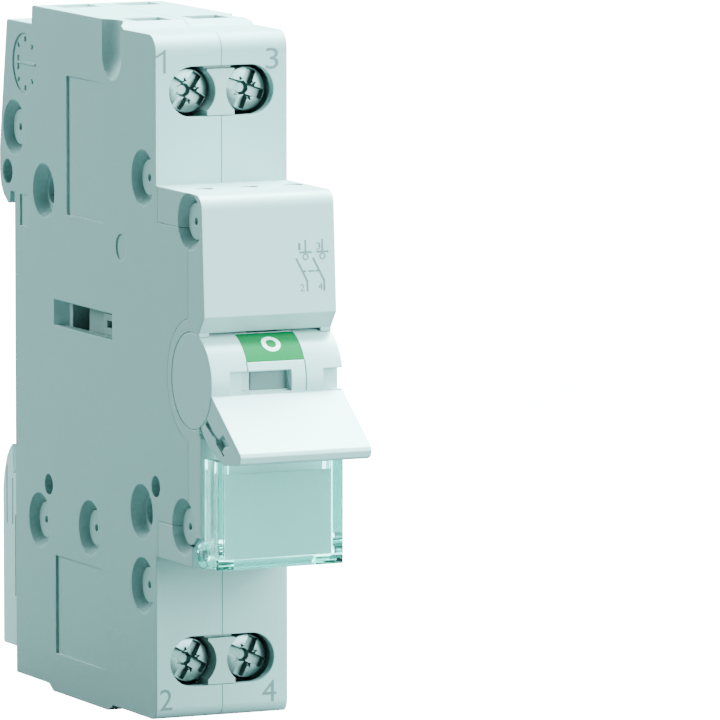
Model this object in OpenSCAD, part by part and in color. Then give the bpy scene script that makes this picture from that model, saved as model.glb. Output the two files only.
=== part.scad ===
// Two-pole switch disconnector, one module wide, for a 35 mm mounting rail.
// The middle of the face that bears on the rail is the origin.
// X runs across the body, the front looks along -Y and +Z is up.

/* [Body] */
// width across the two halves
body_w = 17.4; // [16.6:0.1:20]
// height of the shoulder faces
body_h = 83.6; // [82:0.2:90]
// height of the body's middle over the rail's centre line
body_mid_z = -1; // [-2:0.1:0]
// depth from the rail face to the shoulders
shoulder_d = 44; // [43:0.1:50]
// height of the raised nose
nose_h = 45.2; // [44:0.1:47]
// depth from the rail face to the nose's front
nose_d = 58.4; // [57.6:0.1:60]
// thickness of the side walls
side_wall = 1.4; // [1.2:0.1:1.8]
// thickness of the front and end walls
end_wall = 1.3; // [1:0.1:1.8]
// rounding of the upper front corner
top_corner_r = 2; // [1:0.1:3]
// rounding of the lower front corner
low_corner_r = 1.5; // [1:0.1:3]
// rise of the two end plateaus over the shoulder ends
plateau_rise = 0.8; // [0.4:0.1:1.5]

/* [Rail hook] */
// width of the mounting rail
rail_w = 35; // [34.6:0.1:35.4]
// sheet thickness of the mounting rail
rail_t = 1; // [0.8:0.1:1.5]
// play of the rail in the hook and in the clip
rail_play = 0.3; // [0.1:0.05:0.6]
// depth of the fixed hook behind the rail face
hook_d = 4.8; // [4:0.1:6]

/* [Rail clip] */
// depth of the sliding clip
clip_d = 4.6; // [3.8:0.1:5.4]
// height of the sliding clip
clip_h = 25.5; // [22:0.5:26]
// travel of the clip when it is pulled down
clip_travel = 4.5; // [3:0.5:6]
// width of the clip's tongue at its neck
tongue_neck_w = 4; // [3:0.1:5]
// width of the clip's tongue at its head
tongue_head_w = 6.8; // [5.5:0.1:8]

/* [Toggle] */
// depth of the toggle's axis from the rail face
toggle_d = 54.55; // [54:0.05:55]
// radius of the toggle's drum
drum_r = 5.85; // [5.5:0.05:6.1]
// angle from off to on
toggle_travel = 75; // [60:1:80]
// radius of the crank pin's path
crank_r = 2.8; // [2.4:0.1:3]
// radius of the crank pin
crank_pin_r = 0.75; // [0.6:0.05:0.9]
// reach of the finger lever in front of the drum's axis
lever_reach = 14; // [12:0.5:16]
// width of the coloured indicator strips
indicator_w = 7.5; // [5:0.1:9]

/* [Terminals] */
// height of the terminal screws from the body's middle
terminal_z = 34.8; // [34:0.1:36]
// clear width beside a screw head
head_side = 0.75; // [0.6:0.05:1.2]
// length of a screw head
head_l = 2.5; // [2:0.1:3]
// depth of a screw head below the shoulder
head_inset = 1.6; // [1.4:0.1:2.4]
// step from the screw head to the thread
head_step = 0.7; // [0.5:0.05:1]
// travel of a clamp cage from open to closed
cage_travel = 4.3; // [3:0.1:5]
// thickness of the cage's threaded wall
cage_front_t = 1.6; // [1.2:0.1:2]
// thickness of the cage's other walls
cage_wall = 1; // [0.8:0.1:1.2]
// height of a clamp cage
cage_h = 6.4; // [5:0.1:7]
// opening for the conductor in an open cage
wire_gap = 4.6; // [4.4:0.1:5.5]

/* [Contacts] */
// clear width beside the terminal bars and the moving bridges
bar_side = 1.55; // [1.4:0.05:1.9]
// thickness of the terminal bars and of the moving bridges
bar_t = 0.9; // [0.7:0.05:1.2]
// thickness of the contact tips
tip_t = 0.7; // [0.4:0.05:0.9]
// depth of the contact room's rear wall from the rail face
room_back_d = 15.35; // [14:0.05:17]
// half height of the moving bridges
bridge_z = 10.6; // [9.5:0.1:11.5]
// half height of the contact carrier
carrier_z = 6; // [5.9:0.05:6.2]
// length of a contact spring in its window
spring_l = 7.3; // [6:0.1:8]
// thickness of the walls between the poles
partition_t = 0.8; // [0.6:0.1:1.2]

/* [Label holder] */
// step from the body's side to the clear label holder's
holder_side = 0.5; // [0.2:0.1:1.4]
// height of the clear label holder
holder_h = 13.4; // [12:0.1:14]
// depth of the clear label holder
holder_d = 4; // [3.4:0.1:4.6]
// wall of the clear label holder
holder_wall = 1.1; // [0.8:0.1:1.4]
// radius of the holder's knuckles
knuckle_r = 1.6; // [1.4:0.05:1.8]
// radius of the holder's hinge pin
hinge_pin_r = 0.7; // [0.5:0.05:0.9]

/* [Clearances] */
// clearance of pieces that are fixed together
fit = 0.05; // [0.02:0.01:0.1]
// clearance of the turning pieces in their bearings
turn_fit = 0.06; // [0.03:0.01:0.1]
// clearance of the sliding pieces in their guides
slide_fit = 0.1; // [0.06:0.01:0.2]
// clearance of the crank pin in the carrier's fork
fork_fit = 0.15; // [0.12:0.01:0.3]

/* [Hidden] */
$fn = 64;
eps = 0.01;
over = 1;

half_w = body_w / 2;
inner_x = half_w - side_wall;
part_x = partition_t / 2;
pole_x = (inner_x + part_x) / 2;
cell_w = inner_x - part_x;
head_r = cell_w / 2 - head_side;
screw_r = head_r - head_step;
bar_w = cell_w - 2 * bar_side;
holder_w = body_w - 2 * holder_side;
y_sh = -shoulder_d;
y_nose = -nose_d;
y_ax = -toggle_d;
z_top = body_mid_z + body_h / 2;
z_low = body_mid_z - body_h / 2;
z_plat_top = z_top + plateau_rise;
z_plat_low = z_low - plateau_rise;
z_nose = nose_h / 2;

// parting of the front cover: legs, step and the ring round the drum
leg_h = 4.4;
leg_back_y = y_sh - 0.5;
leg_z = z_nose - leg_h;
part_y = y_ax + 0.95;
ring_r = drum_r + 1.65;
ring_y = y_ax - 0.35;

// terminals, from the shoulder face to the rear
z_up = body_mid_z + terminal_z;
z_dn = body_mid_z - terminal_z;
slot_r = head_r + 0.38;
bore_r = slot_r + 0.07;
y_head = y_sh + head_inset;
y_head_back = y_head + head_l;
cage_gap = 0.3;
y_cage = y_head_back + cage_travel + cage_gap;
y_bar = y_cage + cage_front_t + 0.1;
y_bar_back = y_bar + bar_t;
y_cage_in = y_bar_back + wire_gap;
y_cage_back = y_cage_in + cage_wall + 0.2;
cage_in_w = bar_w + 0.3;
cage_w = cage_in_w + 2 * cage_wall;
cell_y = y_sh + end_wall;
cell_back_y = y_cage_back + 0.4;
cell_h = cage_h + 1.1;
bar_end = cell_h / 2 + 1;
way_half = bar_w / 2 + 0.5;

// contact room, fixed contacts and moving bridges
y_room = -room_back_d;
y_fix = y_room - fit - bar_t - tip_t;
stroke = 2 * crank_r * sin(toggle_travel / 2);
touch = 0.04;
y_bridge_back = y_fix - stroke - touch - tip_t;
y_bridge = y_bridge_back - bar_t;
tip_h = 3;
leg_top = bridge_z + 4;
room_z = leg_top + fit;
spring_r = bar_w / 2 - 0.3;
fixed_low = bridge_z - tip_h - 0.8;

// carrier
carrier_wall = 1.2;
carrier_front_t = 1.8;
y_car_back = y_bridge_back + fit + carrier_wall;
y_car_win = y_bridge - spring_l - fit;
y_car = y_car_win - carrier_front_t;
carrier_x = inner_x - 2 * slide_fit;
win_w = bar_w + 0.4;
stem_w = 3.2;
stem_low = -2;
pin_y = y_ax - stroke / 2;
pin_z = crank_r * cos(toggle_travel / 2);
fork_half = crank_pin_r + fork_fit;
fork_floor = pin_z - crank_pin_r - 0.2;
fork_top = crank_r + 0.1;
prong_t = 0.8;
room_front = min(y_bar - fit, y_car - 0.3);
boss_l = 3;
boss_y = y_car + 0.7;
boss_z = 2.85;
boss_h = 2.55;
boss_out = 0.3;
open_spring_r = 1;
open_spring_seat = 4;

// toggle
slot_half = stem_w / 2 + 0.4;
hollow_r = drum_r - 1;
hollow_front = 0.37 + crank_pin_r + fork_fit + stroke / 2 + prong_t;
slot_margin = 4;
arm_angle = asin(-stem_low / hollow_r) + slot_margin;
open_from = 180 - arm_angle - toggle_travel;
open_to = 180 + arm_angle;
lever_wall = 1.3;
lever_rib = 0.9;
lever_bays = 3;
bay_w = (body_w - 2 * lever_wall - (lever_bays - 1) * lever_rib) / lever_bays;
drum_room_r = drum_r + 0.45;
strip_t = 0.5;

// rail clip and its guide
clip_x = half_w - 0.2;
clip_top = -rail_w / 2 + clip_travel - 1.1;
clip_low = clip_top - clip_h;
ledge_z = -rail_w / 2 - rail_play;
slot_y = rail_t + rail_play - 0.1;
tongue_neck_d = 1.5;
tongue_d = 3;
tongue_top = ledge_z - 2.2;
tongue_low = clip_low + 6;

// label holder, hinged at its lower edge
hinge_y = y_nose + 1.7;
hinge_z = -z_nose + knuckle_r + 0.05;
holder_front = hinge_y - knuckle_r - 3.1;
holder_top = hinge_z + holder_h - knuckle_r;
holder_low = hinge_z - 1.25;
holder_back = holder_front + holder_d;
knuckle_l = 2.8;
cover_low_y = y_nose + 1.1;
nook_y = hinge_y + knuckle_r + 0.3;
nook_z = hinge_z + knuckle_r + 0.5;
nook_wall = 0.8;
nose_r = 1.7;

// thumb groove in the side face
groove_r = 4.2;
groove_in = 1.2;

// rivets and the sunk holes round them, as depth and height
rivet_r = 1.1;
rivet_head_r = 2.2;
rivet_head_t = 0.5;
sunk_r = 3.45;
sunk_in_r = 2.45;
ear_r = 2;
ear_l = 5;
y_notch = y_cage_in - 0.2;
RIVETS = [
    [0.1, rail_w / 2 + rail_play + 8.1],
    [y_sh + 3.9, z_nose + 0.6],
    [part_y - 0.5, leg_z + 1],
    [-7.7, -rail_w / 2 - 5.1],
    [y_cage_back + 3.4, -leg_top - 7.1],
    [y_sh + 4.2, -z_nose - 4.1],
    [part_y + 1.4, -leg_z + 0.2]
];
STEPPED = [[-9.3, rail_w / 2 + 1.3], [y_sh + 4.5, -leg_z + 0.5]];
step_r = 1.7;
SMALL = [[-10.6, -rail_w / 2 - 0.3], [y_sh + 0.2, -leg_z + 4.1], [2.2, rail_w / 2 + 2.7]];
SMALL_R = [1.3, 1.3, 1.55];
small_depth = 4;
ejector_r = 1.6;
dial_r = 3.75;

// extrudes a shape drawn as depth and height across the body
module across(x0, w) {
    translate([x0, 0, 0])
        rotate([90, 0, 90])
            linear_extrude(height = w)
                children();
}

// extrudes a shape drawn as width and height along the depth
module deep(y0, l) {
    translate([0, y0 + l, 0])
        rotate([90, 0, 0])
            linear_extrude(height = l)
                children();
}

// extrudes a shape drawn as width and depth upwards
module upward(z0, h) {
    translate([0, 0, z0])
        linear_extrude(height = h)
            children();
}

// rectangle from one corner to the other
module rect(a, b) {
    translate([min(a[0], b[0]), min(a[1], b[1])])
        square([abs(b[0] - a[0]), abs(b[1] - a[1])]);
}

// block from one corner to the other
module block(a, b) {
    translate([min(a[0], b[0]), min(a[1], b[1]), min(a[2], b[2])])
        cube([abs(b[0] - a[0]), abs(b[1] - a[1]), abs(b[2] - a[2])]);
}

// outline of a case half
module case_outline() {
    groove_z = rail_w / 2 + rail_play;
    lip_y = rail_t + rail_play;
    polygon([
        [0, z_low],
        [0, groove_z],
        [lip_y, groove_z],
        [lip_y + 0.2, groove_z - 1.5],
        [lip_y + 0.8, groove_z - 1.6],
        [hook_d - 1.2, groove_z - 0.6],
        [hook_d - 0.4, groove_z + 0.6],
        [hook_d, groove_z + 2.4],
        [hook_d, groove_z + 5.2],
        [2.4, z_top - 1.8],
        [2.1, z_top - 1.5],
        [-5.6, z_top - 1.5],
        [-5.75, z_plat_top - 0.2],
        [-6, z_plat_top],
        [y_notch - 4.6, z_plat_top],
        [y_notch - 6, z_top],
        [y_sh + top_corner_r, z_top],
        [y_sh, z_top - top_corner_r],
        [y_sh, z_nose],
        [leg_back_y, z_nose],
        [leg_back_y, leg_z],
        [part_y, leg_z],
        [part_y, -leg_z],
        [leg_back_y, -leg_z],
        [leg_back_y, -z_nose],
        [y_sh, -z_nose],
        [y_sh, z_low + low_corner_r],
        [y_sh + low_corner_r, z_low],
        [y_notch - 2.1, z_low],
        [y_notch - 1.9, z_low - 0.3],
        [y_notch - 0.6, z_plat_low],
        [-11.7, z_plat_low],
        [-10.4, z_low]
    ]);
    translate([y_sh + top_corner_r, z_top - top_corner_r])
        circle(r = top_corner_r);
    translate([y_sh + low_corner_r, z_low + low_corner_r])
        circle(r = low_corner_r);
}

// ears of the case that reach under the cover for its two rivets
module case_ears() {
    translate(RIVETS[2])
        circle(r = ear_r);
    rect([part_y + ear_l, leg_z - 4], [part_y, RIVETS[2][1] + ear_r]);
    rect([part_y + ear_l, -leg_z + 4], [part_y, RIVETS[6][1] - ear_r]);
}

// stadium opening for two screw heads
module slot_shape() {
    translate([-pole_x, 0])
        circle(r = slot_r);
    translate([pole_x, 0])
        circle(r = slot_r);
    square([2 * pole_x, 2 * slot_r], center = true);
}

// wall between the poles at one end, grown by c where it is let in
module partition_shape(zt, s, c) {
    half_h = cell_h / 2 - fit + c;
    rect([y_head_back - fit - c, zt - half_h], [cell_back_y - fit + c, zt + half_h]);
    rect([y_bar + 1.4 - c, s * (carrier_z + 0.3)], [y_bar + 5.2 + c, zt]);
    rect([room_front + fit - c, s * (carrier_z + 0.3)], [y_room - fit + c, s * (room_z - fit)]);
}

// conical seat of a rivet head in the side face
module sunk_hole(p, r_out, r_in) {
    translate([-half_w, p[0], p[1]])
        rotate([0, 90, 0]) {
            translate([0, 0, -over])
                cylinder(r = r_out, h = over + eps);
            cylinder(r1 = r_out, r2 = r_in, h = side_wall);
        }
}

// shallow field that fades out to the front
module faded_field(y_back, y_front, z0, z1, depth) {
    upward(z0, z1 - z0)
        polygon([
            [-half_w - over, y_back],
            [-half_w + depth, y_back],
            [-half_w, y_front],
            [-half_w - over, y_front]
        ]);
}

// round dial sunk in the side face, with a raised arrow and ticks
module moulding_dial(p) {
    ticks = 8;
    translate([-half_w - over, p[0], p[1]])
        rotate([0, 90, 0])
            difference() {
                cylinder(r = dial_r, h = over + 0.15);
                translate([-0.15, 0.6 - dial_r, 0])
                    cube([0.3, 2 * dial_r - 1.2, over + 1]);
                translate([-0.9, dial_r - 1.6, 0])
                    cube([1.8, 0.3, over + 1]);
                for (i = [1 : ticks - 1])
                    rotate(i * 360 / ticks)
                        translate([-0.12, dial_r - 1, 0])
                            cube([0.24, 0.6, over + 1]);
            }
}

// rooms for one terminal in a case half: cell, bar slots, wire way
module terminal_room(zt, s) {
    across(-inner_x, inner_x + over)
        rect([cell_y, zt - cell_h / 2], [cell_back_y, zt + cell_h / 2]);
    across(-pole_x - bar_w / 2 - fit, bar_w + 2 * fit)
        rect([y_bar - fit, s * (room_z - over)], [y_bar_back + fit, zt + s * (bar_end + fit)]);
    deep(y_sh - over, end_wall + 2 * over)
        translate([0, zt])
            slot_shape();
    way_z = s > 0 ? z_plat_top + over : z_plat_low - over;
    block([-pole_x - way_half, y_bar_back + 0.1, zt], [-pole_x + way_half, y_cage_in - 0.1, way_z]);
}

// section of the clip's tongue from a given depth, grown by c for its guide
module tongue_shape(c, back_y) {
    rect([-tongue_neck_w / 2 - c, back_y], [tongue_neck_w / 2 + c, -tongue_neck_d - eps]);
    rect([-tongue_head_w / 2 - c, -tongue_neck_d + c], [tongue_head_w / 2 + c, -tongue_d - c]);
}

// one case half, drawn on the left side
module case_half(window) {
    difference() {
        union() {
            difference() {
                across(-half_w, half_w)
                    case_outline();
                across(-half_w - over, side_wall + over)
                    translate([ring_y, 0])
                        circle(r = ring_r + fit);
            }
            across(-inner_x, inner_x)
                case_ears();
        }
        // drum room, stem guide and contact room
        across(-inner_x - eps, inner_x + over)
            translate([y_ax, 0])
                circle(r = drum_room_r);
        across(-stem_w / 2 - slide_fit, stem_w / 2 + over)
            rect([y_ax, stem_low - slide_fit], [y_car, fork_floor + slide_fit]);
        across(-inner_x, inner_x + over)
            rect([room_front, -room_z], [y_room, room_z]);
        // terminals
        terminal_room(z_up, 1);
        terminal_room(z_dn, -1);
        // seats of the pole partitions
        across(-part_x - fit, part_x + over) {
            partition_shape(z_up, 1, fit);
            partition_shape(z_dn, -1, fit);
        }
        // cored rooms of the nose, the back and the bands beside the terminals
        across(-inner_x, inner_x + over) {
            rect([part_y + 1.5, drum_room_r + 2], [y_sh - 1.9, leg_z - 3.2]);
            rect([part_y + 6.2, -drum_room_r - 2], [y_sh - 2.9, -leg_z + 3.2]);
            rect([-12.5, 4.5], [-2, 13.5]);
            rect([-12.5, -4.5], [-2, -13.5]);
            rect([y_cage_back + 0.4, room_z + 1.6], [y_room + 0.85, z_up - cell_h / 2 - 1.6]);
            rect([y_room - 3.65, -room_z - 1.6], [y_room + 2.85, z_dn + cell_h / 2 + 1.6]);
        }
        // seat of the opening spring
        translate([0, y_room - over, 0])
            rotate([-90, 0, 0])
                cylinder(r = open_spring_r + 0.15, h = open_spring_seat + over);
        // guide of the rail clip, open below
        upward(z_low - over, tongue_top + slide_fit - z_low + over)
            tongue_shape(slide_fit, over);
        // rivets
        for (p = RIVETS) {
            sunk_hole(p, sunk_r, sunk_in_r);
            translate([-half_w, p[0], p[1]])
                rotate([0, 90, 0])
                    cylinder(r = rivet_r + fit, h = half_w + over);
        }
        // stepped holes for an add-on unit
        for (p = STEPPED) {
            sunk_hole(p, sunk_r - 0.05, sunk_in_r);
            translate([-half_w, p[0], p[1]])
                rotate([0, 90, 0])
                    cylinder(r = step_r, h = half_w + over);
        }
        for (i = [0 : 2])
            translate([-half_w - over, SMALL[i][0], SMALL[i][1]])
                rotate([0, 90, 0])
                    cylinder(r = SMALL_R[i], h = over + small_depth);
        // faint round mark of an ejector
        translate([-half_w - over, y_sh + 10.6, z_up - 19.7])
            rotate([0, 90, 0])
                cylinder(r = ejector_r, h = over + 0.15);
        // shallow fields and a moulding dial with an arrow and plain ticks
        faded_field(-16.6, -28.2, rail_w / 2 - 1, z_up - 0.1, 0.25);
        faded_field(-1.7, -4.6, rail_w / 2 - 3.7, rail_w / 2 + 0.2, 0.2);
        faded_field(-12.7, -28.6, z_dn - 2.9, z_dn + 9.4, 0.25);
        moulding_dial([-3.2, z_top - 6.6]);
        // thumb groove beside the upper conductor way
        translate([-half_w - groove_r + groove_in, y_notch - 2.4, z_up + cell_h / 2 - 0.3]) {
            cylinder(r = groove_r, h = z_plat_top);
            sphere(r = groove_r);
        }
        // recess in the end face beside each conductor way
        block([-6.6, -7, z_plat_top - 0.6], [-1.6, -11, z_plat_top + over]);
        // slot through which an add-on unit is driven
        if (window) {
            across(-half_w - over, side_wall + 2 * over)
                rect([boss_y - slide_fit, boss_z - 0.45], [y_room + eps, boss_z + boss_h + 0.2]);
            upward(boss_z - 0.45, boss_h + 0.65)
                polygon([
                    [-half_w - over, y_room],
                    [-half_w - over, y_room + 3],
                    [-half_w, y_room + 3],
                    [-half_w + 1.3, y_room + 1],
                    [-half_w + 1.3, y_room]
                ]);
        }
    }
}

module left_case() {
    color("#aebdbd")
        case_half(true);
}

module right_case() {
    color("#aebdbd")
        mirror([1, 0, 0])
            case_half(false);
}

// side cheeks of the cover, with the ring that carries the drum
module cover_cheek() {
    difference() {
        union() {
            polygon([
                [leg_back_y - fit, z_nose],
                [leg_back_y - fit, leg_z + fit],
                [part_y - fit, leg_z + fit],
                [part_y - fit, drum_r],
                [y_nose + 1.6, drum_r + 0.1],
                [y_nose, drum_r + 2.15],
                [y_nose + 0.75, z_nose - nose_r],
                [y_nose + 0.75 + nose_r, z_nose]
            ]);
            translate([y_nose + 0.75 + nose_r, z_nose - nose_r])
                circle(r = nose_r);
            polygon([
                [leg_back_y - fit, -z_nose],
                [leg_back_y - fit, -leg_z - fit],
                [part_y - fit, -leg_z - fit],
                [part_y - fit, -drum_r],
                [cover_low_y + 0.9, -drum_r],
                [cover_low_y, -drum_r - 0.9],
                [cover_low_y, nook_z],
                [nook_y, nook_z],
                [nook_y, -z_nose]
            ]);
            intersection() {
                translate([ring_y, 0])
                    circle(r = ring_r);
                rect([y_nose + 1.6, -ring_r - over], [part_y + ring_r, ring_r + over]);
            }
        }
        translate([y_ax, 0])
            circle(r = drum_r + turn_fit);
    }
}

// front, top and bottom walls of the cover
module cover_shell() {
    difference() {
        union() {
            polygon([
                [leg_back_y - fit, z_nose],
                [leg_back_y - fit, drum_r + 0.5],
                [y_nose + 2.4, drum_r + 0.5],
                [y_nose + 1.6, drum_r + 0.1],
                [y_nose, drum_r + 2.15],
                [y_nose + 0.75, z_nose - nose_r],
                [y_nose + 0.75 + nose_r, z_nose]
            ]);
            translate([y_nose + 0.75 + nose_r, z_nose - nose_r])
                circle(r = nose_r);
        }
        polygon([
            [leg_back_y + over, z_nose - end_wall],
            [y_nose + end_wall + 0.7, z_nose - end_wall],
            [y_nose + end_wall, drum_r + 4.4],
            [y_nose + end_wall + 1.1, drum_r + 1.2],
            [y_nose + end_wall + 1.9, drum_r + 0.5 - eps],
            [leg_back_y + over, drum_r + 0.5 - eps]
        ]);
        translate([y_ax, 0])
            circle(r = drum_room_r);
    }
    rect([cover_low_y, -drum_r - 1], [cover_low_y + end_wall, nook_z]);
    rect([cover_low_y, nook_z], [nook_y + nook_wall, nook_z + nook_wall]);
    rect([nook_y, nook_z], [nook_y + nook_wall, -z_nose]);
    rect([nook_y, -z_nose], [leg_back_y - fit, -z_nose + end_wall]);
}

module front_cover() {
    color("#b9c8c8")
        difference() {
            union() {
                across(-half_w, side_wall - fit)
                    cover_cheek();
                across(inner_x + fit, side_wall - fit)
                    cover_cheek();
                across(-half_w, body_w)
                    cover_shell();
                // middle knuckle of the label holder's hinge
                across(-holder_w / 2 + knuckle_l + slide_fit, holder_w - 2 * knuckle_l - 2 * slide_fit) {
                    translate([hinge_y, hinge_z])
                        circle(r = knuckle_r - 0.1);
                    rect([hinge_y, hinge_z - 0.6], [hinge_y + knuckle_r + 0.4, hinge_z + 0.6]);
                }
            }
            for (i = [2, 6])
                for (s = [0, 1])
                    mirror([s, 0, 0])
                        sunk_hole(RIVETS[i], sunk_r, sunk_in_r);
            // shallow gate marks on the top
            for (x = [-4.9, 1, 7])
                translate([x, leg_back_y - 5.2, z_nose - 0.15])
                    cylinder(r = 1.2, h = over);
            across(-half_w - over, body_w + 2 * over)
                translate([hinge_y, hinge_z])
                    circle(r = hinge_pin_r + turn_fit);
        }
}

module upper_partition() {
    color("#e9e7df")
        across(-part_x, partition_t)
            partition_shape(z_up, 1, 0);
}

module lower_partition() {
    color("#e9e7df")
        across(-part_x, partition_t)
            partition_shape(z_dn, -1, 0);
}

// web between two screw heads, seen in the stadium opening
module screw_guide(zt) {
    web = pole_x - head_r + 0.65;
    translate([0, 0, zt])
        difference() {
            union() {
                across(-web, 2 * web) {
                    rect([y_sh + 0.15, -slot_r + 0.08], [cell_y + fit + eps, slot_r - 0.4]);
                    rect([cell_y + fit, -cell_h / 2 + fit], [y_head_back - 2 * fit, cell_h / 2 - fit]);
                }
            }
            for (s = [-1, 1])
                translate([s * pole_x, y_sh - over, 0])
                    rotate([-90, 0, 0])
                        cylinder(r = bore_r, h = head_l + head_inset + 2 * over);
        }
}

module upper_screw_guide() {
    color("#c3d2d2")
        screw_guide(z_up);
}

module lower_screw_guide() {
    color("#c3d2d2")
        screw_guide(z_dn);
}

// sector between two angles, measured from the front upwards
module sector(r, from, to) {
    steps = 8;
    polygon(concat(
        [[0, 0]],
        [for (i = [0 : steps]) let (a = from + (to - from) * i / steps) [-r * cos(a), r * sin(a)]]
    ));
}

// part of the drum's rim between two angles and two radii
module rim(r0, r1, from, to) {
    intersection() {
        difference() {
            circle(r = r1);
            circle(r = r0);
        }
        sector(2.5 * drum_r, from, to);
    }
}

// side shape of the finger lever in the off position
module lever_shape() {
    polygon([
        [-5, -0.7],
        [-5.8, -1.35],
        [-lever_reach - 0.05, -7.25],
        [-lever_reach - 0.25, -7.7],
        [-lever_reach + 0.05, -8.45],
        [-lever_reach + 0.8, -8.75],
        [-9.3, -9.15],
        [-5.3, -7.6],
        [-3.4, -6.3],
        [-2.6, -5.2],
        [-2.2, -4]
    ]);
}

// hollow behind the lever's front plate
module lever_hollow() {
    polygon([
        [-6.2, -3.5],
        [-lever_reach + 1.4, -7.7],
        [-lever_reach + 1.5, -10],
        [-5, -10],
        [-3, -6.6],
        [-4.7, -4.7]
    ]);
}

// slit and notch in the lever's side faces
module lever_slit() {
    polygon([
        [-3.9, -4.8],
        [-4.5, -4.2],
        [-6.3, -5.55],
        [-7.9, -6.2],
        [-9.1, -5.5],
        [-11.1, -6.7],
        [-9.5, -6.95],
        [-8.9, -7.5],
        [-9.6, -8],
        [-9.2, -8.1],
        [-7.1, -6.8],
        [-6.9, -6.25],
        [-5.9, -5.95]
    ]);
}

module toggle() {
    color("#dde5e5")
        translate([0, y_ax, 0])
            difference() {
                union() {
                    across(-half_w + fit, body_w - 2 * fit)
                        circle(r = drum_r);
                    across(-half_w + 0.1, body_w - 0.2)
                        lever_shape();
                }
                // slot and hollow for the carrier's fork
                across(-slot_half, 2 * slot_half) {
                    intersection() {
                        circle(r = hollow_r);
                        rect([-hollow_front, -drum_r], [drum_r, drum_r]);
                    }
                    sector(2.5 * drum_r, open_from, open_to);
                }
                across(-indicator_w / 2 - fit, indicator_w + 2 * fit) {
                    rim(drum_r - strip_t, drum_r + over, 26, 74);
                    rim(drum_r - strip_t, drum_r + over, -146, -97);
                }
                translate([-slot_half - 3, pin_y - y_ax, pin_z])
                    rotate([0, 90, 0])
                        cylinder(r = crank_pin_r + fit / 2, h = 2 * slot_half + 6);
                for (i = [0 : lever_bays - 1])
                    across(-half_w + lever_wall + i * (bay_w + lever_rib), bay_w)
                        lever_hollow();
                // grip recesses over the lever
                block([-6.2, -drum_r - over, -1.05], [1.9, -drum_r + 0.9, 1.5]);
                block([-4.3, -drum_r, -0.9], [1.8, -drum_r + 1.6, 1.35]);
                block([6.1, -drum_r - over, -1.2], [half_w + over, -drum_r + 1.6, 1.4]);
                for (s = [0, 1])
                    mirror([s, 0, 0])
                        across(-half_w - over, over + 0.9)
                            lever_slit();
                // thin joints beside the middle of the drum
                for (x = [-indicator_w / 2 - 0.06, indicator_w / 2 + 0.06])
                    across(x - 0.06, 0.12)
                        rim(drum_r - 0.15, drum_r + over, -12, 26);
            }
}

module indicator_off() {
    color("#1fae72")
        translate([0, y_ax, 0])
            across(-indicator_w / 2, indicator_w)
                rim(drum_r - strip_t + fit, drum_r - 0.02, 26.6, 73.4);
}

module indicator_on() {
    color("#d8262c")
        translate([0, y_ax, 0])
            across(-indicator_w / 2, indicator_w)
                rim(drum_r - strip_t + fit, drum_r - 0.02, -145.4, -97.6);
}

module crank_pin() {
    color("#c9ced2")
        translate([-slot_half - 2.9, pin_y, pin_z])
            rotate([0, 90, 0])
                cylinder(r = crank_pin_r, h = 2 * slot_half + 5.8);
}

module carrier() {
    color("#e4e0d4") {
        difference() {
            union() {
                block([-carrier_x, y_car, -carrier_z], [carrier_x, y_car_back, carrier_z]);
                across(-stem_w / 2, stem_w) {
                    rect([y_car + over, stem_low], [pin_y - fork_half - prong_t, fork_floor]);
                    rect([pin_y - fork_half - prong_t, stem_low], [pin_y - fork_half, fork_top]);
                    rect([pin_y + fork_half, stem_low], [pin_y + fork_half + prong_t, fork_top]);
                }
                // drive boss in the side slot
                across(-half_w + boss_out, half_w - boss_out - carrier_x + eps)
                    rect([boss_y, boss_z], [boss_y + boss_l, boss_z + boss_h]);
            }
            for (s = [-1, 1])
                across(s * pole_x - win_w / 2, win_w)
                    rect([y_car_win, -carrier_z - over], [y_bridge_back + fit, carrier_z + over]);
            across(-half_w - over, half_w + over - carrier_x - 0.3)
                rect([boss_y - over, boss_z + 0.85], [boss_y + 2.1, boss_z + 1.75]);
            translate([0, y_car_back - open_spring_seat, 0])
                rotate([-90, 0, 0])
                    cylinder(r = open_spring_r + 0.15, h = open_spring_seat + over);
        }
        // bosses that centre the contact springs
        for (s = [-1, 1])
            translate([s * pole_x, y_car_win - eps, 0])
                rotate([-90, 0, 0])
                    cylinder(r = spring_r - 0.6, h = 1.5);
    }
}

// moving bridge with a tip at each end
module bridge(side) {
    tip_z = bridge_z - 0.2;
    color("#c98a5a") {
        across(side * pole_x - bar_w / 2, bar_w)
            rect([y_bridge, -bridge_z], [y_bridge_back, bridge_z]);
        for (s = [-1, 1])
            across(side * pole_x - bar_w / 2 + 0.3, bar_w - 0.6)
                rect([y_bridge_back - eps, s * tip_z], [y_bridge_back + tip_t, s * (tip_z - tip_h)]);
    }
}

module bridge_left() {
    bridge(-1);
}

module bridge_right() {
    bridge(1);
}

// round wire wound along +Y from the origin
module coil(r, wire_r, length, turns) {
    sides = 8;
    steps = turns * 16;
    rise = length - 2 * wire_r;
    points = [
        for (i = [0 : steps]) for (j = [0 : sides - 1])
            let (
                t = i / steps,
                a = 360 * turns * t,
                b = 360 * j / sides,
                rr = r - wire_r + wire_r * cos(b)
            )
            [rr * cos(a), wire_r + rise * t + wire_r * sin(b), rr * sin(a)]
    ];
    faces = concat(
        [[for (j = [0 : sides - 1]) j]],
        [for (i = [0 : steps - 1]) for (j = [0 : sides - 1])
            let (a = i * sides, b = (i + 1) * sides, k = (j + 1) % sides)
            [a + j, b + j, b + k, a + k]],
        [[for (j = [sides - 1 : -1 : 0]) steps * sides + j]]
    );
    polyhedron(points = points, faces = faces, convexity = 6);
}

module contact_spring(side) {
    color("#aab0b4")
        translate([side * pole_x, y_car_win + 0.02, 0])
            coil(spring_r, 0.22, spring_l, 6);
}

module contact_spring_left() {
    contact_spring(-1);
}

module contact_spring_right() {
    contact_spring(1);
}

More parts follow.
